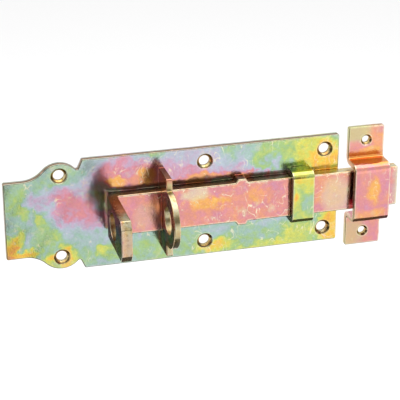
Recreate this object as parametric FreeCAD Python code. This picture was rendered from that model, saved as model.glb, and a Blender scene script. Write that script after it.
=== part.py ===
import FreeCAD, Part
import math
import os

# Padlock bolt for a door or gate, in millimetres. The plate stands against the door: X runs along the
# bolt towards the keeper, Z is up, and the front faces -Y. The origin is the middle of the plate's back.
# Stations are measured along X from the tail's end. Heights stand out from the plate's front face.

# Base plate: a stamped sheet with a narrow tail, two screw lobes and a wide body.
plate_length = 162.0
plate_width = 55.0
plate_thickness = 3.0
plate_corner = 0.8
tail_width = 38.2
lobe_station = 26.0
lobe_radius = 10.5
lobe_set_back = 1.0  # the lobes end this far inside the plate's long edges
lobe_flank = 47.0  # slope of the lobes' flanks, in degrees
waist_radius = 12.5  # hollow curve between the tail and each lobe
shoulder_station = 36.9  # where the wide body begins
shoulder_slope = 66.0  # in degrees
notch_radius = 0.8

# Screw holes: six in the plate and two in the keeper, all with a small countersunk rim.
plate_screw_hole = 5.1
keeper_screw_hole = 3.6
plate_rim = 1.4  # how much the rim is wider than the hole, each side
keeper_rim = 1.0
screw_edge = 7.0  # from the plate's long edges to the middle of its holes
middle_hole_station = 95.3
end_hole_inset = 7.2  # from the plate's end

# Bolt: a flat bar whose end is bent up into a lug.
bolt_width = 20.0
bolt_thickness = 5.0
bolt_projection = 28.7  # how far the tip stands out past the plate at rest
lug_gap = 20.9  # between the bolt's lug and the staple at rest
bolt_edge = 0.6  # rounding of the bar's tip corners
bend_radius = 0.8  # inside the bend of the lug
lug_reach = 36.5
lug_cut_across = 3.5  # the lug's corners are cut this far across the bar
lug_cut_down = 2.5  # and this far down the lug
ear_base = 6.3
ear_top = 3.8
ear_reach = 1.8
ear_rounding = 0.7

# Staple: the fixed lug that the bolt slides through, with the eye for the padlock.
staple_station = 72.9
staple_thickness = 3.0
staple_width = 39.0
staple_shoulder = 14.7  # height of its square shoulders
padlock_hole = 13.0
padlock_height = 17.1  # of the padlock holes in both lugs
crown_wall = 6.4  # metal outside the padlock hole, at the eye's crown
cheek_wall = 7.1  # metal beside the padlock hole
staple_corner = 0.6

# Guide strap: a bridge over the bolt near the plate's end.
strap_width = 10.8
strap_inset = 15.0  # from the plate's end to the strap
strap_sheet = 2.8
strap_bend = 0.8  # inside radius

# Keeper: a loose hat-shaped strap with two feet that are screwed to the frame.
keeper_gap = 5.0  # from the plate's end, at rest
keeper_width = 18.0
keeper_sheet = 2.6
keeper_bend = 1.2  # inside radius
keeper_foot = 15.9
keeper_hole_edge = 6.9  # from the foot's end to the middle of its hole
keeper_drop = 1.0  # the loose keeper rests this much below the bolt's middle line
keeper_corner = 0.8

# Tenons hold the staple and the strap in slots through the plate.
staple_tenon = 6.0
strap_tenon = 7.2
tenon_fit = 0.1

# Clearances round the moving bolt.
bolt_lift = 0.5  # between the plate and the bolt
slot_side = 0.4  # beside the bolt, in the staple and in the strap
slot_roof = 0.9  # over the bolt, in the staple and in the strap
keeper_side = 2.4
keeper_roof = 2.4
shut_gap = 0.3  # left between the two lugs when the bolt is shut
ear_gap = 0.4  # left between the ears and the strap when the bolt is shut

# Worked out from the sizes above.
tail_end = -plate_length / 2
plate_end = plate_length / 2
front = -plate_thickness
bolt_front = bolt_lift + bolt_thickness
bolt_tip = plate_end + bolt_projection
staple_face = tail_end + staple_station
lug_face = staple_face - lug_gap - bolt_thickness
strap_face = plate_end - strap_inset - strap_width
keeper_face = plate_end + keeper_gap
keeper_half = bolt_width / 2 + keeper_side + keeper_sheet
shut_travel = lug_gap - shut_gap
ear_middle = strap_face - shut_travel - ear_gap - ear_base / 2
open_travel = ear_middle - ear_base / 2 - (staple_face + staple_thickness) - shut_gap
strap_leg_middle = bolt_width / 2 + slot_side + strap_sheet / 2
staple_leg_inner = bolt_width / 2 + slot_side
staple_leg_middle = (staple_leg_inner + staple_width / 2) / 2
screw_row = plate_width / 2 - screw_edge


def vec(x, y, z):
    return FreeCAD.Vector(x, y, z)


def on_front(x, z):
    """A point of a front outline, on the plane of the back faces."""
    return vec(x, 0, z)


def across(height, z):
    """A point of an outline square to the bolt, with its height over the plate's front."""
    return vec(0, front - height, z)


def from_side(x, height):
    """A point of a side outline, with its height over the plate's front."""
    return vec(x, front - height, 0)


def rounded_wire(corners, place):
    """A closed wire of straight runs through (u, v, radius) corners, with tangent arcs at the radii."""
    points = [place(u, v) for u, v, _ in corners]
    spans = []
    for i, point in enumerate(points):
        radius = corners[i][2]
        before = (points[i - 1] - point).normalize()
        after = (points[(i + 1) % len(points)] - point).normalize()
        half = before.getAngle(after) / 2
        reach = radius / math.tan(half)
        middle = (before + after).normalize()
        bow = point + middle * (radius / math.sin(half) - radius)
        spans.append((point + before * reach, bow, point + after * reach, radius))
    edges = []
    for i, (start, bow, end, radius) in enumerate(spans):
        if radius > 0:
            edges.append(Part.Arc(start, bow, end).toShape())
        following = spans[(i + 1) % len(spans)][0]
        if end.distanceToPoint(following) > 1e-6:
            edges.append(Part.LineSegment(end, following).toShape())
    return Part.Wire(edges)


def prism(corners, place, direction):
    """A solid whose section is the rounded outline, drawn out along the direction."""
    return Part.Face(rounded_wire(corners, place)).extrude(direction)


def mirrored(upper):
    """The corners of an outline's upper half, followed by the same below the bolt's middle line."""
    return upper + [(u, -v, radius) for u, v, radius in reversed(upper)]


def box(low, high):
    """A box between two corners."""
    size = high - low
    return Part.makeBox(size.x, size.y, size.z, low)


def countersunk_hole(x, z, surface, sheet, diameter, rim_width):
    """A screw hole through a sheet along Y, widened at 45 degrees where it meets the front surface."""
    radius = diameter / 2
    bore = Part.makeCylinder(radius, sheet + 2, vec(x, surface - 1, z), vec(0, 1, 0))
    rim = Part.makeCone(radius + rim_width, radius, rim_width, vec(x, surface, z), vec(0, 1, 0))
    return bore.fuse(rim)


def plate_outline():
    """Upper half of the plate's outline: tail, waist, lobe, notch, shoulder and square end."""
    half_width = plate_width / 2
    half_tail = tail_width / 2
    flank = math.radians(lobe_flank)
    slope = math.radians(shoulder_slope)
    lobe_x = tail_end + lobe_station
    lobe_middle = half_width - lobe_set_back - lobe_radius
    apex = lobe_middle + lobe_radius / math.cos(flank)
    waist_x = lobe_x - (apex - half_tail) / math.tan(flank)
    shoulder_x = tail_end + shoulder_station
    # The lobe's falling flank meets the shoulder's slope at the notch, this far before the shoulder.
    flank_at_shoulder = apex - (shoulder_x - lobe_x) * math.tan(flank)
    back = (half_width - flank_at_shoulder) / (math.tan(slope) + math.tan(flank))
    notch_x = shoulder_x - back
    notch = half_width - back * math.tan(slope)
    return [
        (tail_end, half_tail, plate_corner),
        (waist_x, half_tail, waist_radius),
        (lobe_x, apex, lobe_radius),
        (notch_x, notch, notch_radius),
        (shoulder_x, half_width, plate_corner),
        (plate_end, half_width, plate_corner),
    ]


def tenon_slot(x, width, z, height):
    """A slot through the plate that takes a tenon of this width along X and height along Z."""
    low = vec(x - width / 2 - tenon_fit, -plate_thickness - 1, z - height / 2 - tenon_fit)
    high = vec(x + width / 2 + tenon_fit, 1, z + height / 2 + tenon_fit)
    return box(low, high)


def base_plate():
    plate = prism(mirrored(plate_outline()), on_front, vec(0, front, 0))
    hole_xs = [tail_end + lobe_station, tail_end + middle_hole_station, plate_end - end_hole_inset]
    staple_x = staple_face + staple_thickness / 2
    strap_x = strap_face + strap_width / 2
    for side in (-1, 1):
        for x in hole_xs:
            z = side * screw_row
            plate = plate.cut(countersunk_hole(x, z, front, plate_thickness, plate_screw_hole, plate_rim))
        plate = plate.cut(tenon_slot(staple_x, staple_thickness, side * staple_leg_middle, staple_tenon))
        plate = plate.cut(tenon_slot(strap_x, strap_tenon, side * strap_leg_middle, strap_sheet))
    return plate


def padlock_staple():
    """A flat plate square to the bolt: two legs with tenons, square shoulders and a round eye."""
    radius = padlock_hole / 2 + cheek_wall
    crown = padlock_height + padlock_hole / 2 + crown_wall
    along = vec(staple_thickness, 0, 0)
    half = staple_width / 2
    shoulders = prism(mirrored([(0, half, 0), (staple_shoulder, half, staple_corner)]), across, along)
    eye = Part.makeCylinder(radius, staple_thickness, across(crown - radius, 0), vec(1, 0, 0))
    below_plate_front = box(across(0, -radius), across(-crown, radius) + along)
    blank = shoulders.fuse(eye.cut(below_plate_front))
    tunnel = staple_leg_inner
    slot = prism([(-1, tunnel, 0), (bolt_front + slot_roof, tunnel, 0),
                  (bolt_front + slot_roof, -tunnel, 0), (-1, -tunnel, 0)], across, along)
    hole = Part.makeCylinder(padlock_hole / 2, staple_thickness, across(padlock_height, 0), vec(1, 0, 0))
    blank = blank.cut(slot).cut(hole)
    for side in (-1, 1):
        low = side * staple_leg_middle - staple_tenon / 2
        blank = blank.fuse(box(vec(0, front, low), vec(staple_thickness, 0, low + staple_tenon)))
    blank.translate(vec(staple_face, 0, 0))
    return blank.removeSplitter()


def bridge_outline(inner_half, inner_height, sheet, bend, foot):
    """Section of a sheet bent over the bolt. Its feet, if it has any, lie along the wall."""
    outer_half = inner_half + sheet
    outer_height = inner_height + sheet
    if foot:
        outside = [(0, outer_half + foot, 0), (sheet, outer_half + foot, 0), (sheet, outer_half, bend)]
    else:
        outside = [(0, outer_half, 0)]
    outside.append((outer_height, outer_half, bend + sheet))
    outside += [(u, -v, radius) for u, v, radius in reversed(outside)]
    inside = [(inner_height, -inner_half, bend), (inner_height, inner_half, bend)]
    mouth = bend + sheet if foot else 0
    return outside + [(0, -inner_half, mouth)] + inside + [(0, inner_half, mouth)]


def guide_strap():
    section = bridge_outline(bolt_width / 2 + slot_side, bolt_front + slot_roof, strap_sheet, strap_bend, 0)
    strap = prism(section, across, vec(strap_width, 0, 0))
    inset = (strap_width - strap_tenon) / 2
    for side in (-1, 1):
        low = side * strap_leg_middle - strap_sheet / 2
        strap = strap.fuse(box(vec(inset, front, low), vec(inset + strap_tenon, 0, low + strap_sheet)))
    strap.translate(vec(strap_face, 0, 0))
    return strap.removeSplitter()


def keeper():
    """The keeper stands on the same wall as the plate, so its heights start at the wall."""
    inner_height = plate_thickness + bolt_front + keeper_roof
    inner_half = bolt_width / 2 + keeper_side
    section = bridge_outline(inner_half, inner_height, keeper_sheet, keeper_bend, keeper_foot)
    body = prism(section, lambda height, z: vec(keeper_face, -height, z), vec(keeper_width, 0, 0))
    foot_end = keeper_half + keeper_foot
    hole_x = keeper_face + keeper_width / 2
    for side in (-1, 1):
        z = side * (foot_end - keeper_hole_edge)
        body = body.cut(countersunk_hole(hole_x, z, -keeper_sheet, keeper_sheet, keeper_screw_hole, keeper_rim))
    corners = [edge for edge in body.Edges if is_foot_corner(edge, foot_end)]
    body = body.makeFillet(keeper_corner, corners)
    body.translate(vec(0, 0, -keeper_drop))
    return body


def is_foot_corner(edge, foot_end):
    """True for the short edges through the sheet at the corners of the keeper's feet."""
    spread = edge.BoundBox
    through = abs(spread.YLength - keeper_sheet) < 1e-3 and spread.XLength < 1e-3
    return through and abs(abs(spread.ZMin) - foot_end) < 1e-3 and spread.ZLength < 1e-3


def bolt_ear(side):
    """A rounded stop ear, pressed out of one edge of the bar through its whole thickness."""
    root = bolt_width / 2 - 1
    top = bolt_width / 2 + ear_reach
    corners = [
        (ear_middle - ear_base / 2, side * root, 0),
        (ear_middle - ear_base / 2, side * bolt_width / 2, 0),
        (ear_middle - ear_top / 2, side * top, ear_rounding),
        (ear_middle + ear_top / 2, side * top, ear_rounding),
        (ear_middle + ear_base / 2, side * bolt_width / 2, 0),
        (ear_middle + ear_base / 2, side * root, 0),
    ]
    ear = prism(corners, on_front, vec(0, -bolt_thickness, 0))
    ear.translate(vec(0, front - bolt_lift, 0))
    return ear


def lug_corner(side):
    """The sloping corner that is cut off the lug's outer end."""
    half = side * bolt_width / 2
    corners = [
        (lug_reach, half, 0),
        (lug_reach - lug_cut_down, half, 0),
        (lug_reach, half - side * lug_cut_across, 0),
    ]
    corner = prism(corners, across, vec(bolt_thickness, 0, 0))
    corner.translate(vec(lug_face, 0, 0))
    return corner


def sliding_bolt():
    """The bar and its lug are one side outline with a bend, drawn out over the bar's width."""
    outline = [
        (bolt_tip, bolt_lift, 0),
        (bolt_tip, bolt_front, 0),
        (lug_face + bolt_thickness, bolt_front, bend_radius),
        (lug_face + bolt_thickness, lug_reach, 0),
        (lug_face, lug_reach, 0),
        (lug_face, bolt_lift, bend_radius + bolt_thickness),
    ]
    bolt = prism(outline, from_side, vec(0, 0, bolt_width))
    bolt.translate(vec(0, 0, -bolt_width / 2))
    tip_edges = [edge for edge in bolt.Edges if is_through(edge, bolt_tip)]
    bolt = bolt.makeFillet(bolt_edge, tip_edges)
    hole_middle = vec(lug_face, front - padlock_height, 0)
    hole = Part.makeCylinder(padlock_hole / 2, bolt_thickness, hole_middle, vec(1, 0, 0))
    bolt = bolt.cut(hole)
    for side in (-1, 1):
        bolt = bolt.cut(lug_corner(side)).fuse(bolt_ear(side))
    return bolt.removeSplitter()


def is_through(edge, x):
    """True for an edge through the bar's thickness at this X."""
    spread = edge.BoundBox
    straight = spread.XLength < 1e-3 and spread.ZLength < 1e-3
    return straight and abs(spread.XMin - x) < 1e-3


os.makedirs("parts", exist_ok=True)
nodes = {
    "base_plate": base_plate(),
    "padlock_staple": padlock_staple(),
    "guide_strap": guide_strap(),
    "sliding_bolt": sliding_bolt(),
    "keeper": keeper(),
}
for name, shape in nodes.items():
    shape.exportStep("parts/" + name + ".step")
    print(name, len(shape.Solids), "solid,", round(shape.Volume), "mm3, valid:", shape.isValid())
print("travel from rest: open", round(-open_travel, 2), "shut", round(shut_travel, 2))
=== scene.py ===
import math

import bpy
import numpy as np
from mathutils import Euler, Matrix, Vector
from mathutils.geometry import delaunay_2d_cdt


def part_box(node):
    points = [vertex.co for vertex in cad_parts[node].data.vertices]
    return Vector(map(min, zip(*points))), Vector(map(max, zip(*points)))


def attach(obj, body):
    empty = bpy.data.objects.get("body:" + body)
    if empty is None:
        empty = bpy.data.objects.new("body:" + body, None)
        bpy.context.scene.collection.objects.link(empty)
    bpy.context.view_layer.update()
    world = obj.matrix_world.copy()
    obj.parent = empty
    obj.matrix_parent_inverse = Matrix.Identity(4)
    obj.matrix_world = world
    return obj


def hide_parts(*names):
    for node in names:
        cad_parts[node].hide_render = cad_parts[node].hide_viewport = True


# Sliding bolt for a padlock. Lengths are in millimetres until a mesh is made. X runs along the bolt
# towards the keeper, Z is up, and the front faces -Y. Every piece starts as a flat blank with
# coordinates u and v on its face and a depth into the sheet, and is then stood up or bent into place.
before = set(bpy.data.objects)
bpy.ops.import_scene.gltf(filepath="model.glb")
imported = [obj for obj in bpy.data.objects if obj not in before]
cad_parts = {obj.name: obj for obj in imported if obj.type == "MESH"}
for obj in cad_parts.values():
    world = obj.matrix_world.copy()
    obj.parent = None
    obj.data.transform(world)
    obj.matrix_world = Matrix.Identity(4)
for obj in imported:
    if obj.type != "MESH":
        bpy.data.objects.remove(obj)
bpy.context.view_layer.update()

metre = 1000.0


# Low and high corners of a node's box, in millimetres.
def boxOf(node):
    low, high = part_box(node)
    return np.array(low) * metre, np.array(high) * metre


plateLow, plateHigh = boxOf("base_plate")
stapleLow, stapleHigh = boxOf("padlock_staple")
strapLow, strapHigh = boxOf("guide_strap")
boltLow, boltHigh = boxOf("sliding_bolt")
keeperLow, keeperHigh = boxOf("keeper")
plateFront = plateLow[1]

# How every blank is cut and rounded.
sheetWork = {
    "arcSteps": 8,  # steps round each corner of an outline
    "rimSteps": 4,  # steps round each edge of the sheet
    "ledge": 0.12,  # flat ring between the edge's rounding and the face
    # the slow waves left in rolled sheet: lengths along u and v, and a phase
    "rippleLengths": ((31.0, 47.0, 0.4), (19.0, -26.0, 2.1), (-12.5, 17.0, 4.0)),
    "bendStep": 0.25,  # along a bent strip's side path
    "bendSteps": 40,  # round each of its bends
}


# Straight lines through (a, b, radius) corners with tangent arcs: an arc's points are its centre plus
# the radius times the line's right-hand normal, turned evenly from one line to the next.
def turnedPath(corners, closed, step, arcSteps):
    table = np.array(corners, float)
    spot, radius = table[:, :2], table[:, 2]
    after = np.roll(spot, -1, 0) - spot
    if not closed:
        after[-1] = after[-2]
    after /= np.linalg.norm(after, axis=1, keepdims=True)
    before = np.roll(after, 1, 0)
    if not closed:
        before[0] = after[0]
    turn = np.arctan2(before[:, 0] * after[:, 1] - before[:, 1] * after[:, 0], (before * after).sum(1))
    side = np.where(turn < 0, -1.0, 1.0)
    start = spot - before * (radius * np.tan(np.abs(turn) / 2))[:, None]
    heading = np.arctan2(-before[:, 0], before[:, 1])
    centre = start - (side * radius)[:, None] * np.stack([np.cos(heading), np.sin(heading)], 1)
    angle = heading[:, None] + turn[:, None] * np.linspace(0, 1, arcSteps + 1)
    normal = np.stack([np.cos(angle), np.sin(angle)], 2)
    arc = centre[:, None] + (side * radius)[:, None, None] * normal
    points, normals = arc.reshape(-1, 2), normal.reshape(-1, 2)
    gap = np.linalg.norm(np.roll(points, -1, 0) - points, axis=1)
    if not closed:
        gap[-1] = 1.0
    keep = gap > 1e-6
    points, normals, gap = points[keep], normals[keep], gap[keep]
    count = np.maximum(1, np.ceil(gap / step - 1e-6)).astype(int)
    if not closed:
        count[-1] = 1
    owner = np.repeat(np.arange(len(points)), count)
    share = (np.arange(len(owner)) - np.repeat(np.cumsum(count) - count, count)) / count[owner]
    nextOne = (owner + 1) % len(points)
    points = points[owner] + (points[nextOne] - points[owner]) * share[:, None]
    normals = normals[owner] + (normals[nextOne] - normals[owner]) * share[:, None]
    return points, normals / np.linalg.norm(normals, axis=1, keepdims=True)


# Section of a cut edge from the front face round to the back: (outward, depth) points and normals.
# A screw hole's rim first runs down a 45 degree slope.
def edgeSection(sheet, frontRound, backRound, rim=0.0):
    ledge = sheetWork["ledge"]
    corners = [(-rim - frontRound - ledge, 0, 0)]
    if rim:
        corners += [(-rim, 0, frontRound), (0, rim, frontRound)]
    else:
        corners.append((0, 0, frontRound))
    corners += [(0, sheet, backRound), (-backRound - ledge, sheet, 0)]
    return turnedPath(corners, False, sheet, sheetWork["rimSteps"])


# A round hole's outline, turned the other way round so that its right side is the hole.
def roundHole(u, v, radius):
    return [(u - radius, v - radius, radius), (u - radius, v + radius, radius),
            (u + radius, v + radius, radius), (u + radius, v - radius, radius)]


# A square hole's outline, turned the same way: four corners at the middle plus or minus the halves.
def squareHole(u, v, halfWidth, halfHeight, corner):
    return [(u - halfWidth, v - halfHeight, corner), (u - halfWidth, v + halfHeight, corner),
            (u + halfWidth, v + halfHeight, corner), (u + halfWidth, v - halfHeight, corner)]


# The lower half of an outline, followed by the same above the middle line.
def mirrored(lower):
    return lower + [(u, -v, radius) for u, v, radius in reversed(lower)]


# Slow waves in the sheet: a sum of sines of the face's coordinates, with its two slopes.
def ripple(u, v, amount):
    height, slopeU, slopeV = np.zeros_like(u), np.zeros_like(u), np.zeros_like(u)
    for lengthU, lengthV, phase in sheetWork["rippleLengths"]:
        angle = 2 * np.pi * (u / lengthU + v / lengthV) + phase
        height += amount * np.sin(angle)
        slopeU += amount * np.cos(angle) * 2 * np.pi / lengthU
        slopeV += amount * np.cos(angle) * 2 * np.pi / lengthV
    return height, slopeU, slopeV


# Evenly spaced grid lines: the low end plus a margin, then one spacing after another to the high end.
def gridLines(low, high, margin, spacing):
    return np.arange(low + margin, high, spacing)


# Triangles over a face: the outlines' inner rings and a staggered grid of points well inside them.
# A hole is convex, so a point lies in it when it is on the same side of all its edges.
def fillFace(rings, uLines, vLines):
    ringPoints = np.concatenate(rings)
    gridU, gridV = np.meshgrid(uLines, vLines, indexing="ij")
    gridV = gridV + (np.arange(len(uLines)) % 2)[:, None] * (vLines[1] - vLines[0]) / 2
    grid = np.stack([gridU.ravel(), gridV.ravel()], 1)
    room = (vLines[1] - vLines[0]) * 0.45
    for number, ring in enumerate(rings):
        reach = grid[:, None] - ring[None]
        along = np.roll(ring, -1, 0) - ring
        inHole = (along[:, 0] * reach[..., 1] - along[:, 1] * reach[..., 0] < 0).all(1) & (number > 0)
        grid = grid[(np.hypot(reach[..., 0], reach[..., 1]).min(1) > room) & ~inHole]
    starts = np.cumsum([0] + [len(ring) for ring in rings])
    edges = np.concatenate([
        np.stack([np.arange(len(ring)), (np.arange(len(ring)) + 1) % len(ring)], 1) + start
        for ring, start in zip(rings, starts)])
    spots = np.concatenate([ringPoints, grid])
    out = delaunay_2d_cdt(spots.tolist(), edges.tolist(), [], 1, 1e-6)
    origin = np.array([sources[0] if sources else -1 for sources in out[3]])
    triangles = origin[np.array(out[2])]
    ringOwner = [np.full(len(ring), number) for number, ring in enumerate(rings)]
    owner = np.concatenate(ringOwner + [np.zeros(len(grid), int)])
    corners = owner[triangles]
    triangles = triangles[~((corners[:, 0] > 0) & (corners == corners[:, :1]).all(1))]
    used = np.zeros(len(spots), bool)
    used[triangles.ravel()] = True
    used[:len(ringPoints)] = True
    renumber = np.cumsum(used) - 1
    return spots[used][len(ringPoints):], renumber[triangles]


# A flat blank: each edge section is carried round its outline, and the two faces are filled between
# the sections' ends. Gives points (u, v, depth), normals (u, v, towards the front), faces, and each
# point's distance from the nearest outline: below zero along a section, above zero on a face.
def stampedBlank(outlines, step, uLines, vLines, amount):
    points, normals, quads, edge = [], [], [], []
    frontRings, backRings, frontIndex, backIndex = [], [], [], []
    total = 0
    for corners, section in outlines:
        loop, outward = turnedPath(corners, True, step, sheetWork["arcSteps"])
        profile, lean = section
        rows, columns = len(profile), len(loop)
        flat = loop[None] + outward[None] * profile[:, 0][:, None, None]
        depth = np.broadcast_to(profile[:, 1][:, None, None], (rows, columns, 1))
        points.append(np.concatenate([flat, depth], 2).reshape(-1, 3))
        sideways = outward[None] * lean[:, 0][:, None, None]
        upward = np.broadcast_to(-lean[:, 1][:, None, None], (rows, columns, 1))
        normals.append(np.concatenate([sideways, upward], 2).reshape(-1, 3))
        down = np.concatenate([[0], np.cumsum(np.linalg.norm(np.diff(profile, axis=0), axis=1))])
        edge.append(np.repeat(-np.minimum(down, down[-1] - down), columns))
        index = total + np.arange(rows * columns).reshape(rows, columns)
        following = np.roll(index, -1, 1)
        quads.append(np.stack([index[:-1], index[1:], following[1:], following[:-1]], 2).reshape(-1, 4))
        frontRings.append(flat[0])
        backRings.append(flat[-1])
        frontIndex.append(index[0])
        backIndex.append(index[-1])
        total += rows * columns
    sheet = outlines[0][1][0][-1, 1]
    triangles = []
    sides = ((frontRings, frontIndex, 0.0, 1.0), (backRings, backIndex, sheet, -1.0))
    for rings, indices, depth, facing in sides:
        inside, faces = fillFace(rings, uLines, vLines)
        lookup = np.concatenate(indices + [total + np.arange(len(inside))])
        faces = lookup[faces]
        triangles.append(faces if facing > 0 else faces[:, ::-1])
        points.append(np.column_stack([inside, np.full(len(inside), depth)]))
        normals.append(np.tile([0.0, 0.0, facing], (len(inside), 1)))
        away = inside[:, None] - np.concatenate(rings)[None]
        edge.append(np.sqrt((away ** 2).sum(2).min(1)))
        total += len(inside)
    points, normals = np.concatenate(points), np.concatenate(normals)
    height, slopeU, slopeV = ripple(points[:, 0], points[:, 1], amount)
    points[:, 2] += height
    normals[:, 0] += normals[:, 2] * slopeU
    normals[:, 1] += normals[:, 2] * slopeV
    return points, normals, np.concatenate(quads), np.concatenate(triangles), np.concatenate(edge)


# Bends a blank along a side path: a point at u goes to the path's point at that length, then its depth
# inwards along the path's normal. The normals turn by the same amount.
def bentAlong(points, normals, path):
    line, outward = turnedPath(path, False, sheetWork["bendStep"], sheetWork["bendSteps"])
    length = np.concatenate([[0], np.cumsum(np.linalg.norm(np.diff(line, axis=0), axis=1))])
    a, b, na, nb = (np.interp(points[:, 0], length, values) for values in (*line.T, *outward.T))
    size = np.hypot(na, nb)
    na, nb = na / size, nb / size
    place = np.column_stack([a - na * points[:, 2], b - nb * points[:, 2]])
    alongPath = normals[:, 0]
    lean = np.column_stack([na * normals[:, 2] - nb * alongPath, nb * normals[:, 2] + na * alongPath])
    return place, lean


# Length of a side path with its bends: the sum of the distances between its points.
def pathLength(path):
    line = turnedPath(path, False, sheetWork["bendStep"], sheetWork["bendSteps"])[0]
    return np.linalg.norm(np.diff(line, axis=0), axis=1).sum()


# Puts the surface into a mesh in metres, with the worked-out normals on its vertices.
def makePiece(name, points, normals, quads, triangles, edge, body, node, slot, material):
    mesh = bpy.data.meshes.new(name)
    mesh.from_pydata((points / metre).tolist(), [], quads.tolist() + triangles.tolist())
    mesh.polygons.foreach_set("use_smooth", np.ones(len(mesh.polygons), bool))
    normals = normals / np.linalg.norm(normals, axis=1, keepdims=True)
    mesh.normals_split_custom_set_from_vertices(normals.tolist())
    mesh.attributes.new("edge", "FLOAT", "POINT").data.foreach_set("value", edge)
    mesh.materials.append(material)
    mesh.update()
    piece = bpy.data.objects.new(name, mesh)
    bpy.context.scene.collection.objects.link(piece)
    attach(piece, body)
    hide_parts(node)
    print(name, len(mesh.vertices), "points,", len(mesh.polygons), "faces")


# One socket of a node tree. Arithmetic on it adds Math nodes.
class Wire:
    def __init__(self, tree, socket=None):
        self.tree, self.socket = tree, socket

    # Any node: its type, its settings, then the values or wires of its inputs.
    def node(self, kind, settings=None, inputs=None, output=0):
        made = self.tree.nodes.new(kind)
        for key, value in (settings or {}).items():
            if key == "stops":
                while len(made.color_ramp.elements) < len(value):
                    made.color_ramp.elements.new(1.0)
                for element, (place, colour) in zip(made.color_ramp.elements, value):
                    element.position, element.color = place, (*colour, 1.0)
            else:
                setattr(made, key, value)
        for key, value in (inputs or {}).items():
            if isinstance(value, Wire):
                self.tree.links.new(value.socket, made.inputs[key])
            else:
                made.inputs[key].default_value = value
        return Wire(self.tree, made.outputs[output] if made.outputs else None)

    def math(self, operation, first, second=0.0):
        return self.node("ShaderNodeMath", {"operation": operation}, {0: first, 1: second})

    def __add__(self, other):
        return self.math("ADD", self, other)

    def __radd__(self, other):
        return self.math("ADD", other, self)

    def __sub__(self, other):
        return self.math("SUBTRACT", self, other)

    def __rsub__(self, other):
        return self.math("SUBTRACT", other, self)

    def __mul__(self, other):
        return self.math("MULTIPLY", self, other)

    def __rmul__(self, other):
        return self.math("MULTIPLY", other, self)

    def __abs__(self):
        return self.math("ABSOLUTE", self)

    # 0 below low and 1 above high, with an even S curve between them; low may be the greater.
    def between(self, low, high):
        settings = {"interpolation_type": "SMOOTHSTEP", "clamp": True}
        inputs = {"Value": self, "From Min": low, "From Max": high}
        return self.node("ShaderNodeMapRange", settings, inputs)

    # This wire picks between two colours.
    def pick(self, first, second, blend="MIX"):
        settings = {"data_type": "RGBA", "blend_type": blend, "clamp_factor": True}
        return self.node("ShaderNodeMix", settings, {0: self, 6: first, 7: second}, 2)

    def vector(self, operation, first, second=(0, 0, 0), output=0):
        return self.node("ShaderNodeVectorMath", {"operation": operation}, {0: first, 1: second}, output)

    # Noise of this vector: size is the width of its lumps in millimetres. Output 1 is three of them.
    def noise(self, size, detail=2.0, rough=0.5, twist=0.0, output=0):
        inputs = {"Vector": self, "Scale": metre / size, "Detail": detail, "Roughness": rough,
                  "Distortion": twist}
        return self.node("ShaderNodeTexNoise", None, inputs, output)

    # How far this vector lies from a centre, each axis divided by its reach: 1 is a reach away.
    def away(self, centre, reach):
        offset = self.vector("SUBTRACT", self, tuple(part / metre for part in centre))
        share = self.vector("DIVIDE", offset, tuple(part / metre for part in reach))
        return self.vector("LENGTH", share, output=1)


# A screen colour of 0 to 255 as linear light: its share divided by 12.92 when dark, and otherwise
# (share + 0.055) / 1.055 to the power 2.4.
def tint(red, green, blue):
    share = np.array([red, green, blue]) / 255
    linear = np.where(share <= 0.04045, share / 12.92, ((share + 0.055) / 1.055) ** 2.4)
    return tuple(float(value) for value in linear)


# Colours of the chromate film as it thickens. The order is what thin films give, one and a half times.
filmColours = (
    (0.00, tint(236, 230, 200)),  # nearly bare zinc
    (0.08, tint(238, 212, 140)),  # straw
    (0.17, tint(240, 178, 98)),  # orange
    (0.26, tint(230, 158, 130)),  # salmon
    (0.35, tint(216, 144, 158)),  # pink
    (0.44, tint(200, 172, 196)),  # lavender
    (0.52, tint(184, 192, 206)),  # grey blue
    (0.60, tint(162, 192, 178)),  # teal
    (0.69, tint(166, 196, 130)),  # green
    (0.78, tint(214, 214, 106)),  # yellow green
    (0.86, tint(240, 194, 84)),  # gold
    (0.94, tint(234, 154, 98)),  # coral
    (1.00, tint(218, 146, 152)),  # pink again
)


# What lies over the film: marks on the zinc, pale corners that are partly a painted highlight, and a
# painted shade for the holes.
zincMarksAndPaintedLight = {
    "rubbed": (*tint(224, 214, 176), 1.0),
    "scuff": (*tint(248, 238, 206), 1.0),
    "corner": (*tint(246, 236, 200), 1.0),
    "sawStreak": (*tint(122, 104, 70), 1.0),
    "paintedHoleShade": (*tint(92, 80, 50), 1.0),
}

# Widths of the lumps of noise, in millimetres.
lumps = {
    "stirring": ((24.0, 1.0), (9.0, 1.0), (3.0, 0.6)),  # width and share
    "drift": 15.0,
    "mottle": 5.0,
    "cutFilm": 4.0,
    "speckle": 0.9,
    "cloud": 6.0,
    "scuffLine": 7.0,
    "scuffBlotch": 8.0,
    "fleck": 1.0,
    "fleckBlotch": 9.0,
    "rubbed": 7.0,
    "corner": 2.5,
    "sawStreak": 1.8,
    "paintedHoleShade": 2.2,
    "rough": 9.0,
    "fineGrain": 0.7,
    "coarseGrain": 4.5,
}
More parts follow.
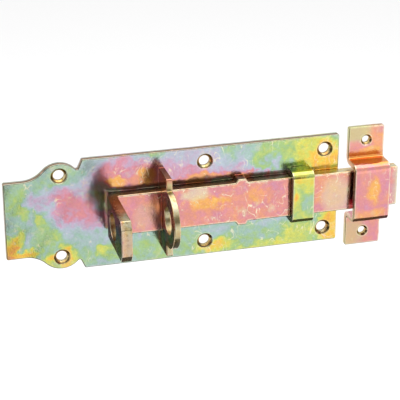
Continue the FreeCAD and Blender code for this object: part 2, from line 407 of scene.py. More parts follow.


# Chromated zinc: a film thickness is laid out in patches over the piece, stirred by noise of three
# sizes and turned into colour. The cut edges keep a thinner film, and scuffs, specks and worn corners
# go over it; the worn corners are partly a painted highlight, and a painted shade runs down the cut
# edges. The listed marks come last, some of them painted shade and painted reflections.
def chromate(name, finish):
    material = bpy.data.materials.new(name)
    material.use_nodes = True
    tree = material.node_tree
    tree.nodes.clear()
    wire = Wire(tree)
    spot = wire.node("ShaderNodeTexCoord", output=3)
    edge = wire.node("ShaderNodeAttribute", {"attribute_name": "edge"}, output=2)
    stirred = spot
    for size, share in lumps["stirring"]:
        shift = wire.vector("SUBTRACT", spot.noise(size, 1.0, output=1), (0.5, 0.5, 0.5))
        push = finish["stir"] * share / metre
        stirred = wire.vector("ADD", stirred, wire.vector("MULTIPLY", shift, (push, push, push)))
    halfStirred = wire.vector("MULTIPLY", wire.vector("ADD", stirred, spot), (0.5, 0.5, 0.5))
    film = finish["film"] + (stirred.noise(lumps["drift"], 2.0, 0.5) - 0.5) * finish["drift"]
    for centre, reach, target, strength in finish["patches"]:
        mask = stirred.away(centre, reach).between(1.0, 0.45) * strength
        film = film + (target - film) * mask
    film = film + (stirred.noise(lumps["mottle"], 3.0, 0.6) - 0.5) * finish["mottle"]
    wall = edge.between(-0.5, -0.8)
    cutFilm = finish["cut"] + (spot.noise(lumps["cutFilm"], 3.0, 0.6) - 0.5) * 0.55
    film = abs(film + (cutFilm - film) * wall)
    colour = wire.node("ShaderNodeValToRGB", {"stops": filmColours}, {"Fac": film})
    # fine light and dark grain of the rolled zinc
    speckle = (spot.noise(lumps["speckle"], 2.0, 0.7) - 0.5) * finish["speckle"]
    shade = 1.0 + speckle + (spot.noise(lumps["cloud"], 3.0, 0.7) - 0.5) * finish["cloud"]
    colour = wire.node("ShaderNodeVectorMath", {"operation": "SCALE"}, {0: colour, 3: shade})
    # thin scuffs: where a twisted noise crosses its middle value, only inside some blotches
    upright = wire.vector("MULTIPLY", spot, (1.0, 1.0, 0.6))
    line = abs(upright.noise(lumps["scuffLine"], 1.0, 0.5, 1.6) - 0.5).between(0.017, 0.005)
    blotch = spot.noise(lumps["scuffBlotch"], 2.0, 0.6).between(0.50, 0.58)
    fleck = spot.noise(lumps["fleck"], 1.0).between(0.66, 0.74)
    fleck = fleck * spot.noise(lumps["fleckBlotch"], 2.0, 0.6).between(0.50, 0.60)
    worn = wire.math("MINIMUM", line * blotch * finish["scuffs"] + fleck * finish["flecks"], 1.0)
    rubbed = spot.noise(lumps["rubbed"], 4.0, 0.7).between(0.58, 0.70) * finish["rubbed"]
    colour = rubbed.pick(colour, zincMarksAndPaintedLight["rubbed"])
    colour = worn.pick(colour, zincMarksAndPaintedLight["scuff"])
    # the corners are rubbed pale, partly wear and partly a painted highlight along the rounded edges,
    # and the cut faces keep dull streaks
    corner = abs(edge + 0.3).between(0.75, 0.15)
    corner = corner * spot.noise(lumps["corner"], 3.0, 0.7).between(0.30, 0.55)
    colour = (corner * finish["corners"]).pick(colour, zincMarksAndPaintedLight["corner"])
    streak = wall * spot.noise(lumps["sawStreak"], 3.0, 0.7).between(0.52, 0.66) * 0.55
    colour = streak.pick(colour, zincMarksAndPaintedLight["sawStreak"])
    # painted shade: a broken dark brown band a little way down every cut edge, standing for the dark
    # rings round the holes
    rim = abs(edge + 0.95).between(0.6, 0.1)
    rim = rim * spot.noise(lumps["paintedHoleShade"], 3.0, 0.7).between(0.2, 0.45) * finish["rim"]
    colour = rim.pick(colour, zincMarksAndPaintedLight["paintedHoleShade"])
    # the listed marks: some are painted shade and painted reflections, the rest coloured patches
    for centre, reach, markColour, strength in finish["paintedLightAndMarks"]:
        mask = halfStirred.away(centre, reach).between(1.15, 0.55) * strength
        colour = mask.pick(colour, (*tint(*markColour), 1.0))
    rough = finish["rough"] + (spot.noise(lumps["rough"], 3.0, 0.6) - 0.5) * 0.12
    rough = rough + worn * 0.10 + wall * finish["sawn"]
    grain = spot.noise(lumps["fineGrain"], 2.0, 0.6) * 0.5
    grain = grain + spot.noise(lumps["coarseGrain"], 2.0, 0.5) * 0.9
    bump = wire.node("ShaderNodeBump", None, {
        "Strength": finish["grain"], "Distance": 0.0002, "Height": grain + worn * -0.15})
    shader = wire.node("ShaderNodeBsdfPrincipled", None, {
        "Base Color": colour, "Metallic": 1.0, "Roughness": rough, "Normal": bump})
    wire.node("ShaderNodeOutputMaterial", None, {"Surface": shader})
    return material


# The base plate: a stamped sheet with a narrow tail, two screw lobes and a wide body.
plateShape = {
    "tailWidth": 38.2,
    "lobeStation": 26.0,
    "lobeRadius": 10.5,
    "lobeSetBack": 1.0,
    "lobeFlank": 47.0,
    "waistRadius": 12.5,
    "shoulderStation": 36.9,
    "shoulderSlope": 66.0,
    "notchRadius": 0.8,
    "corner": 0.9,
    "frontRound": 0.5,
    "backRound": 0.2,
    "screwRound": 0.18,
    "slotFront": 0.12,
    "slotBack": 0.25,
    "slotCorner": 0.3,
    "screwHole": 5.1,
    "screwRim": 1.4,
    "screwEdge": 7.0,
    "middleHoleStation": 95.3,
    "endHoleInset": 7.2,
    "stapleTenon": (3.0, 6.0),
    "stapleTunnel": 10.4,  # from the middle line to the staple's foot
    "strapTenon": (7.2, 2.8),
    "tenonFit": 0.12,
    "outlineStep": 2.2,
    "grid": (1.5, 2.2),  # margin and spacing of the face's points
    "ripple": 0.035,  # height of the waves
}

plateFinish = {
    "film": 0.60, "cut": 0.12, "drift": 0.30, "stir": 9.0, "mottle": 0.26, "scuffs": 0.6, "flecks": 0.4,
    "rubbed": 0.3, "corners": 0.25, "rim": 0.9, "sawn": 0.06,
    "speckle": 0.35, "cloud": 0.30, "rough": 0.17, "grain": 0.30,
    # centre, reach, colour, strength: painted shade, a dark brown band on the plate just above the bar,
    # where the bar shades the plate and mirrors in it
    "paintedLightAndMarks": (((14, -3.4, 10.6), (58, 2.6, 2.3), (74, 54, 38), 0.7),),
    # centre, reach, film, strength
    "patches": (
        ((-72, 0, 2), (16, 12, 26), 0.64, 0.9),
        ((-75, 0, 12), (6, 9, 8), 0.69, 0.7),
        ((-66, 0, 10), (8, 9, 6), 0.47, 0.8),
        ((-60, 0, 9), (6, 9, 5), 0.44, 0.7),
        ((-63, 0, 4.5), (4, 9, 3.5), 0.40, 0.75),
        ((-72, 0, 0), (6, 9, 5), 0.57, 0.8),
        ((-73, 0, 4.5), (5, 9, 5), 0.78, 0.55),
        ((-64.5, 0, -2), (3.2, 9, 4.5), 0.80, 0.6),
        ((-61, 0, -10), (9, 9, 6), 0.72, 0.6),
        ((-76, 0, -7), (4, 9, 6), 0.81, 0.6),
        ((-70, 0, -8), (4, 9, 5), 0.52, 0.7),
        ((-49, 0, 5), (14, 12, 18), 0.34, 1.0),
        ((-40, 0, -4), (9, 9, 9), 0.37, 0.8),
        ((-79, 0, -12), (5, 9, 9), 0.92, 0.85),
        ((-73, 0, -17), (12, 9, 4), 0.93, 0.75),
        ((-54, 0, -21), (17, 9, 8), 0.84, 1.0),
        ((-54, 0, 20), (12, 9, 8), 0.68, 0.9),
        ((-44, 0, 16), (7, 9, 6), 0.46, 0.8),
        ((-22, 0, 18), (26, 12, 13), 0.35, 1.0),
        ((-29, 0, 13.5), (7, 9, 5), 0.17, 0.95),
        ((-13, 0, 15), (7, 9, 5.5), 0.17, 0.95),
        ((-20, 0, 24), (7, 9, 4), 0.44, 0.8),
        ((8, 0, 15), (24, 12, 10), 0.39, 1.0),
        ((10, 0, 24), (20, 9, 7), 0.49, 0.9),
        ((32, 0, 15), (14, 9, 8), 0.4, 0.9),
        ((48, 0, 20), (18, 12, 12), 0.68, 0.95),
        ((49, 0, 17), (6, 9, 5), 0.5, 0.8),
        ((-38, 0, -14), (9, 9, 6), 0.57, 0.8),
        ((-30, 0, -21), (20, 9, 8), 0.69, 1.0),
        ((-37, 0, -19), (6, 9, 5), 0.8, 0.6),
        ((-6, 0, -20), (26, 12, 11), 0.66, 1.0),
        ((18, 0, -23), (13, 9, 7), 0.85, 1.0),
        ((38, 0, -18), (22, 9, 9), 0.65, 1.0),
        ((42, 0, -27), (30, 9, 5), 0.77, 0.9),
        ((64, 0, 22), (15, 12, 14), 0.78, 1.0),
        ((76, 0, 14), (13, 12, 20), 0.85, 1.0),
        ((62, 0, -22), (13, 12, 10), 0.74, 1.0),
        ((78, 0, -20), (12, 12, 16), 0.87, 1.0),
        # painted reflection: a tan-brown band of film on the plate just above the bar, standing for the
        # bar's top side mirrored in it
        ((12, -4, 12.2), (58, 3.6, 4.2), 0.2, 0.8),
    ),
}


# The plate's outline. Each lobe is one corner, rounded to the lobe's radius, where two flanks of one
# slope would meet: its height is the lobe's middle plus the radius over the slope's cosine. The waist
# lies where the flank comes down to the tail's half width, and the notch where it meets the shoulder.
def plateOutline(shape):
    left, right = plateLow[0], plateHigh[0]
    halfWidth, halfTail = plateHigh[2], shape["tailWidth"] / 2
    flank, slope = math.radians(shape["lobeFlank"]), math.radians(shape["shoulderSlope"])
    lobeX = left + shape["lobeStation"]
    apex = halfWidth - shape["lobeSetBack"] - shape["lobeRadius"] + shape["lobeRadius"] / math.cos(flank)
    waistX = lobeX - (apex - halfTail) / math.tan(flank)
    shoulderX = left + shape["shoulderStation"]
    flankHeight = apex - (shoulderX - lobeX) * math.tan(flank)
    back = (halfWidth - flankHeight) / (math.tan(slope) + math.tan(flank))
    return mirrored([
        (left, -halfTail, shape["corner"]),
        (waistX, -halfTail, shape["waistRadius"]),
        (lobeX, -apex, shape["lobeRadius"]),
        (shoulderX - back, -halfWidth + back * math.tan(slope), shape["notchRadius"]),
        (shoulderX, -halfWidth, shape["corner"]),
        (right, -halfWidth, shape["corner"]),
    ])


# The plate: the outline, six screw holes in two rows and four slots, all mirrored about the middle. A
# blank's u, v and depth become x, z and the distance behind the front face.
def buildPlate(shape):
    sheet = plateHigh[1] - plateLow[1]
    outerEdge = edgeSection(sheet, shape["frontRound"], shape["backRound"])
    screwEdge = edgeSection(sheet, shape["screwRound"], shape["backRound"], shape["screwRim"])
    slotEdge = edgeSection(sheet, shape["slotFront"], shape["slotBack"])
    outlines = [(plateOutline(shape), outerEdge)]
    row = plateHigh[2] - shape["screwEdge"]
    holeXs = (plateLow[0] + shape["lobeStation"], plateLow[0] + shape["middleHoleStation"],
              plateHigh[0] - shape["endHoleInset"])
    stapleZ = (shape["stapleTunnel"] + stapleHigh[2]) / 2
    strapZ = strapHigh[2] - shape["strapTenon"][1] / 2
    fit = shape["tenonFit"]
    for side in (-1, 1):
        for x in holeXs:
            outlines.append((roundHole(x, side * row, shape["screwHole"] / 2), screwEdge))
        for low, high, z, (wide, tall) in ((stapleLow, stapleHigh, stapleZ, shape["stapleTenon"]),
                                           (strapLow, strapHigh, strapZ, shape["strapTenon"])):
            middle = (low[0] + high[0]) / 2
            slot = squareHole(middle, side * z, wide / 2 + fit, tall / 2 + fit, shape["slotCorner"])
            outlines.append((slot, slotEdge))
    uLines = gridLines(plateLow[0], plateHigh[0], *shape["grid"])
    vLines = gridLines(plateLow[2], plateHigh[2], *shape["grid"])
    points, normals, quads, triangles, edge = stampedBlank(
        outlines, shape["outlineStep"], uLines, vLines, shape["ripple"])
    place = np.column_stack([points[:, 0], plateFront + points[:, 2], points[:, 1]])
    lean = np.column_stack([normals[:, 0], -normals[:, 2], normals[:, 1]])
    return place, lean, quads, triangles, edge


makePiece("stampedPlate", *buildPlate(plateShape), "plate", "base_plate", "plate_zinc",
          chromate("plateChromate", plateFinish))

# The padlock staple: a fixed lug with the padlock's eye, on two feet that leave a tunnel for the bar.
stapleShape = {
    "shoulder": 14.7,
    "corner": 0.7,
    "padlockHole": 13.0,
    "padlockHeight": 17.1,
    "eyeRadius": 13.6,
    "tunnelHalf": 10.4,
    "tunnelHeight": 6.4,
    "tenonHalf": 3.0,
    "edgeRound": 0.4,
    "footCorner": 0.6,
    "nookCorner": 0.3,  # hollow corners beside the tenons
    "eyeNook": 0.5,  # where the eye leaves the shoulder
    "eyeLean": 4.5,  # the eye's arc starts this far past the shoulder, in degrees
    "outlineStep": 1.2,
    "gridStart": -2.0,  # first row of the face's points, inside the tenons
    "gridStep": 1.4,
    "ripple": 0.012,
}

stapleFinish = {
    "film": 0.24, "cut": 0.03, "drift": 0.30, "stir": 4.0, "mottle": 0.40, "scuffs": 0.5, "flecks": 0.4,
    "rubbed": 0.35, "corners": 0.8, "rim": 0.4, "sawn": 0.14,
    "paintedLightAndMarks": (
        # centre, reach, colour, strength: painted shade, olive darkening in the padlock hole; the next
        # entry lays salmon along the staple's top
        ((-6.6, -20.1, 0), (5, 7.3, 7.3), (120, 112, 64), 0.5),
        ((-6.6, -10, 19.5), (4, 13, 3.2), (222, 128, 104), 0.7),
    ),
    "speckle": 0.4, "cloud": 0.35, "rough": 0.17, "grain": 0.30,
    # centre, reach, film, strength
    "patches": (
        ((-6, -8, 16), (6, 9, 7), 0.27, 0.9),
        ((-6, -22, 8), (6, 9, 7), 0.72, 0.7),
        ((-6, -24, -6), (6, 8, 8), 0.76, 0.8),
        ((-6, -12, -12), (6, 8, 7), 0.7, 0.9),
    ),
}


# The staple: half an outline mirrored about the middle, and the eye's hole. The eye's arc is one corner
# between the lines that touch its ends, which meet at the radius over the half sweep's cosine from its
# centre. A blank's u, v and depth become the height over the plate, z and x.
def buildStaple(shape):
    sheet = stapleHigh[0] - stapleLow[0]
    half, corner, inner = stapleHigh[2], shape["corner"], shape["tunnelHalf"]
    tenonLow = (inner + half) / 2 - shape["tenonHalf"]
    tenonHigh = tenonLow + 2 * shape["tenonHalf"]
    below = plateHigh[1] - plateFront
    crown = plateFront - stapleLow[1]
    radius, footCorner, nook = shape["eyeRadius"], shape["footCorner"], shape["nookCorner"]
    lean = math.radians(shape["eyeLean"])
    lowAngle = math.asin((shape["shoulder"] - crown + radius) / radius) + lean
    halfSweep = (math.pi / 2 - lowAngle) / 2
    middle, distance = lowAngle + halfSweep, radius / math.cos(halfSweep)
    start = (radius - (shape["shoulder"] - crown + radius) * math.sin(lowAngle)) / math.cos(lowAngle)
    lower = [
        (shape["tunnelHeight"], -inner, corner),
        (0, -inner, footCorner),
        (0, -tenonLow, nook),
        (-below, -tenonLow, footCorner),
        (-below, -tenonHigh, footCorner),
        (0, -tenonHigh, nook),
        (0, -half, footCorner),
        (shape["shoulder"], -half, corner),
        (shape["shoulder"], -start, shape["eyeNook"]),
        (crown - radius + distance * math.sin(middle), -distance * math.cos(middle), radius),
    ]
    cut = edgeSection(sheet, shape["edgeRound"], shape["edgeRound"])
    hole = roundHole(shape["padlockHeight"], 0, shape["padlockHole"] / 2)
    uLines = gridLines(shape["gridStart"], crown, 0.0, shape["gridStep"])
    vLines = gridLines(-half, half, 0.0, shape["gridStep"])
    points, normals, quads, triangles, edge = stampedBlank(
        [(mirrored(lower), cut), (hole, cut)], shape["outlineStep"], uLines, vLines, shape["ripple"])
    place = np.column_stack([stapleLow[0] + points[:, 2], plateFront - points[:, 0], points[:, 1]])
    lean = np.column_stack([-normals[:, 2], -normals[:, 0], normals[:, 1]])
    return place, lean, quads, triangles, edge


makePiece("padlockStaple", *buildStaple(stapleShape), "plate", "padlock_staple", "staple_zinc",
          chromate("stapleChromate", stapleFinish))

# The guide strap: a bent strip over the bar, near the plate's end.
strapShape = {
    "sheet": 2.8,
    "bend": 0.8,
    "tenonHalf": 3.6,
    "edgeRound": 0.35,
    "backRound": 0.25,
    "corner": 0.55,
    "nookCorner": 0.3,  # hollow corners beside the tenons
    "outlineStep": 0.5,
    "gridAlong": (1.0, 0.6),  # margin and spacing of the face's points
    "gridAcross": (0.5, 1.0),
    "ripple": 0.012,
}

strapFinish = {
    "film": 0.76, "cut": 0.14, "drift": 0.25, "stir": 5.0, "mottle": 0.30, "scuffs": 0.4, "flecks": 0.3,
    "rubbed": 0.2, "corners": 0.6, "rim": 0.5, "sawn": 0.06, "paintedLightAndMarks": (),
    "speckle": 0.25, "cloud": 0.25, "rough": 0.14, "grain": 0.20,
    # centre, reach, film, strength
    "patches": (
        ((61, -9, 11), (9, 4, 5), 0.73, 0.8),
        ((61, -12, 9), (9, 3, 3), 0.8, 0.9),
        ((57, -11, 1), (3.5, 5, 3.5), 0.87, 0.95),
        ((64, -11, -5), (6, 5, 8), 0.6, 0.9),
        ((58, -11, -7), (4, 5, 6), 0.72, 0.8),
    ),
}


# The strap: a straight strip as long as its path, narrower at both ends, where it is a tenon, and bent
# along a path that rises at one side, crosses the bar and comes down at the other.
def buildStrap(shape):
    width = strapHigh[0] - strapLow[0]
    height = plateFront - strapLow[1]
    below = plateHigh[1] - plateFront
    bend = shape["bend"] + shape["sheet"]
    path = [(-below, -strapHigh[2], 0), (height, -strapHigh[2], bend),
            (height, strapHigh[2], bend), (-below, strapHigh[2], 0)]
    length = pathLength(path)
    tenonLow, tenonHigh = width / 2 - shape["tenonHalf"], width / 2 + shape["tenonHalf"]
    corner, nook, lastFoot = shape["corner"], shape["nookCorner"], length - below
    outer = [
        (0, tenonLow, corner), (below, tenonLow, nook), (below, 0, corner),
        (lastFoot, 0, corner), (lastFoot, tenonLow, nook), (length, tenonLow, corner),
        (length, tenonHigh, corner), (lastFoot, tenonHigh, nook), (lastFoot, width, corner),
        (below, width, corner), (below, tenonHigh, nook), (0, tenonHigh, corner),
    ]
    cut = edgeSection(shape["sheet"], shape["edgeRound"], shape["backRound"])
    uLines = gridLines(0.0, length, *shape["gridAlong"])
    vLines = gridLines(0.0, width, *shape["gridAcross"])
    points, normals, quads, triangles, edge = stampedBlank(
        [(outer, cut)], shape["outlineStep"], uLines, vLines, shape["ripple"])
    side, lean = bentAlong(points, normals, path)
    place = np.column_stack([strapLow[0] + points[:, 1], plateFront - side[:, 0], -side[:, 1]])
    lean = np.column_stack([normals[:, 1], -lean[:, 0], -lean[:, 1]])
    return place, lean, quads, triangles, edge


makePiece("guideStrap", *buildStrap(strapShape), "plate", "guide_strap", "strap_zinc",
          chromate("strapChromate", strapFinish))

# The sliding bolt: a flat bar whose end is bent up into a lug, with a small ear on each side.
boltShape = {
    "bar": 5.0,
    "bend": 0.8,
    "width": 20.0,
    "tipCorner": 0.8,
    "lugCutAcross": 3.5,
    "lugCutDown": 2.5,
    "cutCorner": 0.75,
    "earMiddle": 31.05,
    "earBase": 6.3,
    "earTop": 3.8,
    "padlockHole": 13.0,
    "padlockHeight": 17.1,
    "edgeRound": 0.5,
    "backRound": 0.3,
    "earFoot": 0.8,
    "earCorner": 0.75,
    "outlineStep": 0.6,
    "bendShift": 0.2,  # the bend's middle lies this far along from the lug's foot
    "gridBar": (1.2, 2.0),  # margin and spacing of the face's points, before, in and past the bend
    "gridBend": (0.0, 0.5),
    "gridLug": (0.8, 1.2),
    "gridAcross": (0.9, 1.2),
    "ripple": 0.02,
}

boltFinish = {
    "film": 0.30, "cut": 0.04, "drift": 0.20, "stir": 7.0, "mottle": 0.26, "scuffs": 0.9, "flecks": 0.8,
    "rubbed": 0.5, "corners": 0.8, "rim": 0.35, "sawn": 0.12,
    # centre, reach, colour, strength: painted shade, brown in the padlock hole; then orange along the
    # lug's top and pale patches on the lug and along the bar
    "paintedLightAndMarks": (
        ((-31.5, -20.1, 0), (8, 7.4, 7.4), (104, 56, 36), 0.8),
        ((-31.5, -20, 10.4), (5, 14, 3.0), (230, 130, 78), 0.75),
        ((-31.5, -41, -2), (5, 5, 9), (214, 170, 150), 0.5),
        ((9, -9, 6.5), (8, 4, 4), (228, 226, 186), 0.55),
        ((-16, -9, -2), (7, 4, 7), (216, 196, 176), 0.3),
        ((79, -9, -2), (9, 4, 11), (222, 222, 176), 0.45),
        ((109, -9, 0), (2.5, 4, 12), (204, 206, 180), 0.45),
    ),
    "speckle": 0.35, "cloud": 0.25, "rough": 0.18, "grain": 0.28,
    # centre, reach, film, strength
    "patches": (
        ((-22, -8, 2), (13, 4, 14), 0.31, 0.9),
        ((16, -8, 2), (14, 4, 7), 0.16, 0.95),
        ((40, -8, 2), (8, 4, 6), 0.2, 0.8),
        ((71, -8, 0), (5, 4, 9), 0.28, 0.8),
        ((105, -8, 0), (6, 6, 12), 0.32, 0.9),
        ((-35, -14, 8), (3.5, 9, 8), 0.16, 0.9),
        ((-35, -32, -4), (3.5, 12, 10), 0.7, 0.95),
    ),
}


# The bolt: half an outline from the tip past one ear to the lug's cut corner, mirrored about the middle,
# and the padlock hole. It is bent along a path that follows the bar's back and then the lug's outside.
def buildBolt(shape):
    sheet, half = shape["bar"], shape["width"] / 2
    lift, reach = plateFront - boltHigh[1], plateFront - boltLow[1]
    bend = shape["bend"] + sheet
    path = [(-boltHigh[0], lift, 0), (-boltLow[0], lift, bend), (-boltLow[0], reach, 0)]
    length = pathLength(path)
    ear = boltHigh[0] - shape["earMiddle"]
    base, top = shape["earBase"] / 2, shape["earTop"] / 2
    earFoot, earCorner, cutCorner = shape["earFoot"], shape["earCorner"], shape["cutCorner"]
    lower = [
        (0, -half, shape["tipCorner"]),
        (ear - base, -half, earFoot), (ear - top, boltLow[2], earCorner),
        (ear + top, boltLow[2], earCorner), (ear + base, -half, earFoot),
        (length - shape["lugCutDown"], -half, cutCorner),
        (length, -half + shape["lugCutAcross"], cutCorner),
    ]
    cut = edgeSection(sheet, shape["backRound"], shape["edgeRound"])
    hole = roundHole(length - (reach - shape["padlockHeight"]), 0, shape["padlockHole"] / 2)
    bendMiddle = length - (reach - lift) + shape["bendShift"]
    uLines = np.concatenate([gridLines(0.0, bendMiddle - bend, *shape["gridBar"]),
                             gridLines(bendMiddle - bend, bendMiddle + bend, *shape["gridBend"]),
                             gridLines(bendMiddle + bend, length, *shape["gridLug"])])
    vLines = gridLines(-half, half, *shape["gridAcross"])
    points, normals, quads, triangles, edge = stampedBlank(
        [(mirrored(lower), cut), (hole, cut)], shape["outlineStep"], uLines, vLines, shape["ripple"])
    side, lean = bentAlong(points, normals, path)
    place = np.column_stack([-side[:, 0], plateFront - side[:, 1], points[:, 1]])
    lean = np.column_stack([-lean[:, 0], -lean[:, 1], normals[:, 1]])
    return place, lean, quads, triangles, edge


makePiece("slidingBolt", *buildBolt(boltShape), "bolt", "sliding_bolt", "bolt_zinc",
          chromate("boltChromate", boltFinish))

# The keeper: a loose hat-shaped strip with a screw hole in each foot.
keeperShape = {
    "sheet": 2.6,
    "bend": 1.2,
    "raisedHalf": 15.0,
    "corner": 0.9,
    "screwHole": 3.6,
    "screwRim": 1.0,
    "holeEdge": 6.9,
    "edgeRound": 0.4,
    "backRound": 0.25,
    "rimFront": 0.16,
    "rimBack": 0.2,
    "outlineStep": 0.5,
    "gridAlong": (0.9, 0.6),  # margin and spacing of the face's points
    "gridAcross": (0.8, 1.1),
    "ripple": 0.02,
}

keeperFinish = {
    "film": 0.31, "cut": 0.12, "drift": 0.20, "stir": 5.0, "mottle": 0.22, "scuffs": 0.35, "flecks": 0.3,
    "rubbed": 0.25, "corners": 0.6, "rim": 0.7, "sawn": 0.06,
    "paintedLightAndMarks": (
        # centre, reach, colour, strength: painted reflection, orange on the top web; then pale green
        # patches on the feet
        ((95, -6.5, 14.5), (24, 6, 3.5), (206, 114, 46), 0.6),
        ((89, -2.6, 28), (10, 4, 6), (194, 202, 140), 0.65),
        ((88, -2.6, -26), (10, 4, 9), (200, 196, 138), 0.55),
    ),
    "speckle": 0.25, "cloud": 0.25, "rough": 0.15, "grain": 0.22,
    # centre, reach, film, strength
    "patches": (
        ((102, -2, 22), (8, 5, 6), 0.22, 0.8),
        ((95, -2, 17), (12, 4, 3.5), 0.17, 0.9),
        # painted reflection: orange film on the top web, the same band as the orange mark
        ((95, -6.5, 14), (24, 7, 3.5), 0.15, 1.0),
        ((96, -13, 1), (4, 4, 9), 0.17, 0.95),
        ((95, -13, -12), (12, 5, 5), 0.19, 0.8),
    ),
}


# The keeper: a plain strip as long as its path with a hole near each end, bent along a path that runs
# over one foot, up, across the raised middle, down and over the other foot.
def buildKeeper(shape):
    width, sheet = keeperHigh[0] - keeperLow[0], shape["sheet"]
    middleZ = (keeperLow[2] + keeperHigh[2]) / 2
    footEnd, height, raised = (keeperHigh[2] - keeperLow[2]) / 2, -keeperLow[1], shape["raisedHalf"]
    inside, outside = shape["bend"], shape["bend"] + sheet
    path = [(sheet, -footEnd, 0), (sheet, -raised, inside), (height, -raised, outside),
            (height, raised, outside), (sheet, raised, inside), (sheet, footEnd, 0)]
    length = pathLength(path)
    corner = shape["corner"]
    outer = [(0, 0, corner), (length, 0, corner), (length, width, corner), (0, width, corner)]
    cut = edgeSection(sheet, shape["edgeRound"], shape["backRound"])
    rim = edgeSection(sheet, shape["rimFront"], shape["rimBack"], shape["screwRim"])
    holes = [(roundHole(u, width / 2, shape["screwHole"] / 2), rim)
             for u in (shape["holeEdge"], length - shape["holeEdge"])]
    uLines = gridLines(0.0, length, *shape["gridAlong"])
    vLines = gridLines(0.0, width, *shape["gridAcross"])
    points, normals, quads, triangles, edge = stampedBlank(
        [(outer, cut)] + holes, shape["outlineStep"], uLines, vLines, shape["ripple"])
    side, lean = bentAlong(points, normals, path)
    place = np.column_stack([keeperLow[0] + points[:, 1], -side[:, 0], middleZ - side[:, 1]])
    lean = np.column_stack([normals[:, 1], -lean[:, 0], -lean[:, 1]])
    return place, lean, quads, triangles, edge


makePiece("looseKeeper", *buildKeeper(keeperShape), "keeper", "keeper", "keeper_zinc",
          chromate("keeperChromate", keeperFinish))

# The studio, in metres: a pale floor, two soft lamps, a white sky and dark cards for the reflections.
studio = {
    "floorDrop": 0.42,
    "floorSize": 9.0,
    "floorPale": (0.93, 0.93, 0.93, 1),
    "floorShade": (0.85, 0.85, 0.85, 1),
    "floorRough": 0.9,
    "overhead": {"place": (0.1, 0.25, 0.95), "turn": (0, 0, 0), "size": 1.5, "power": 9.0},
    "frontFill": {"place": (0.55, -1.2, -0.1), "turn": (88, 0, 25), "size": 0.9, "power": 1.0},
    "worldGlow": 0.93,
    # left, right, front, low and high of each standing card, and its grey
    "standingCards": {
        "lowCard": ((-0.9, -0.06, -0.35, -0.40, 0.01), 0.11),
        "highCard": ((-0.9, 0.18, -0.35, 0.01, 0.26), 0.08),
    },
    # left, right, near, far and height of each lying card, and its grey
    "lyingCards": {
        "leftCard": ((-0.7, -0.02, -1.6, -0.3, -0.415), 0.25),
        "underCard": ((-0.35, 0.35, -0.32, 0.25, -0.41), 0.08),
    },
}


# The floor: one square, its corners at plus or minus half its size, below the piece.
def makeFloor(settings):
    half = settings["floorSize"] / 2
    mesh = bpy.data.meshes.new("paleFloor")
    drop = -settings["floorDrop"]
    corners = [(-half, -half, drop), (half, -half, drop), (half, half, drop), (-half, half, drop)]
    mesh.from_pydata(corners, [], [(0, 1, 2, 3)])
    material = bpy.data.materials.new("paleFloor")
    material.use_nodes = True
    wire = Wire(material.node_tree)
    material.node_tree.nodes.clear()
    spot = wire.node("ShaderNodeTexCoord", output=3)
    shade = (spot.noise(900.0, 2.0) * 0.04).pick(settings["floorPale"], settings["floorShade"])
    shader = wire.node("ShaderNodeBsdfPrincipled", None, {
        "Base Color": shade, "Roughness": settings["floorRough"]})
    wire.node("ShaderNodeOutputMaterial", None, {"Surface": shader})
    mesh.materials.append(material)
    floor = bpy.data.objects.new("paleFloor", mesh)
    bpy.context.scene.collection.objects.link(floor)


# A flat card through four corners that only reflections show: the camera, the floor's light and the
# shadows leave it out.
def reflectedCard(name, corners, grey):
    mesh = bpy.data.meshes.new(name)
    mesh.from_pydata(corners, [], [(0, 1, 2, 3)])
    material = bpy.data.materials.new(name)
    material.use_nodes = True
    material.node_tree.nodes.clear()
    wire = Wire(material.node_tree)
    shader = wire.node("ShaderNodeBsdfDiffuse", None, {"Color": (grey, grey * 0.95, grey * 0.88, 1)})
    wire.node("ShaderNodeOutputMaterial", None, {"Surface": shader})
    mesh.materials.append(material)
    card = bpy.data.objects.new(name, mesh)
    card.visible_camera = card.visible_diffuse = card.visible_shadow = False
    bpy.context.scene.collection.objects.link(card)


# A level card: its four corners are its left and right edges at its near and far edges.
def lyingCard(name, edges, grey):
    left, right, near, far, height = edges
    reflectedCard(name, [(left, near, height), (right, near, height), (right, far, height),
                         (left, far, height)], grey)


# An upright card: its four corners are its left and right edges at its foot and its top.
def standingCard(name, edges, grey):
    left, right, front, low, high = edges
    reflectedCard(name, [(left, front, low), (right, front, low), (right, front, high),
                         (left, front, high)], grey)


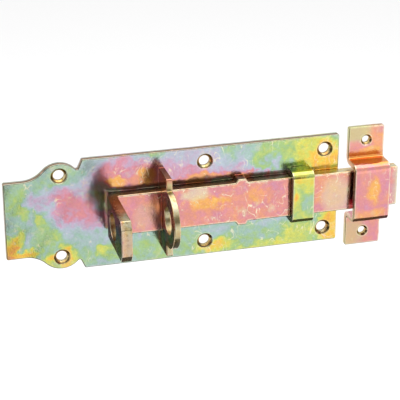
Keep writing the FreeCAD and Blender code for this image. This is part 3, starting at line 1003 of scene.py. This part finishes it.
# A square area lamp, turned from straight down by three angles in degrees.
def softLight(name, settings):
    lamp = bpy.data.lights.new(name, "AREA")
    lamp.shape, lamp.size = "SQUARE", settings["size"]
    lamp.energy = settings["power"]
    lampObject = bpy.data.objects.new(name, lamp)
    lampObject.location = settings["place"]
    lampObject.rotation_euler = Euler([math.radians(angle) for angle in settings["turn"]])
    lampObject.visible_camera = False
    bpy.context.scene.collection.objects.link(lampObject)


makeFloor(studio)
for cardName, (edges, grey) in studio["standingCards"].items():
    standingCard(cardName, edges, grey)
for cardName, (edges, grey) in studio["lyingCards"].items():
    lyingCard(cardName, edges, grey)
softLight("overheadSoftbox", studio["overhead"])
softLight("frontSoftbox", studio["frontFill"])

# a white sky that is a little dimmer to reflections than to the camera
world = bpy.data.worlds.new("studio")
bpy.context.scene.world = world
world.use_nodes = True
world.node_tree.nodes.clear()
sky = Wire(world.node_tree)
seen = sky.node("ShaderNodeLightPath")
glow = seen * (1.0 - studio["worldGlow"]) + studio["worldGlow"]
background = sky.node("ShaderNodeBackground", None, {"Color": (1, 1, 1, 1), "Strength": glow})
sky.node("ShaderNodeOutputWorld", None, {"Surface": background})

cameraWork = {
    "aim": (12.7, 0.0, -0.3),  # millimetres from the middle of the plate's back
    "azimuth": 15.2,  # left of straight ahead, in degrees
    "elevation": 23.6,
    "distance": 708.0,
    "lens": 133.9,
    "sensor": 36.0,
}


# The camera stands back from its aim by its distance, along a line that is turned left by the azimuth
# and up by the elevation, and looks along that line.
def makeCamera(settings):
    around, above = math.radians(settings["azimuth"]), math.radians(settings["elevation"])
    level = math.cos(above)
    back = Vector((-math.sin(around) * level, -math.cos(around) * level, math.sin(above)))
    camera = bpy.data.cameras.new("camera")
    camera.lens, camera.sensor_width = settings["lens"], settings["sensor"]
    camera.clip_start = 0.01
    cameraObject = bpy.data.objects.new("camera", camera)
    cameraObject.rotation_euler = back.to_track_quat("Z", "Y").to_euler()
    cameraObject.location = Vector(settings["aim"]) / metre + back * settings["distance"] / metre
    bpy.context.scene.collection.objects.link(cameraObject)
    bpy.context.scene.camera = cameraObject


makeCamera(cameraWork)
bpy.context.scene.view_settings.view_transform = "Standard"
print("studio ready")
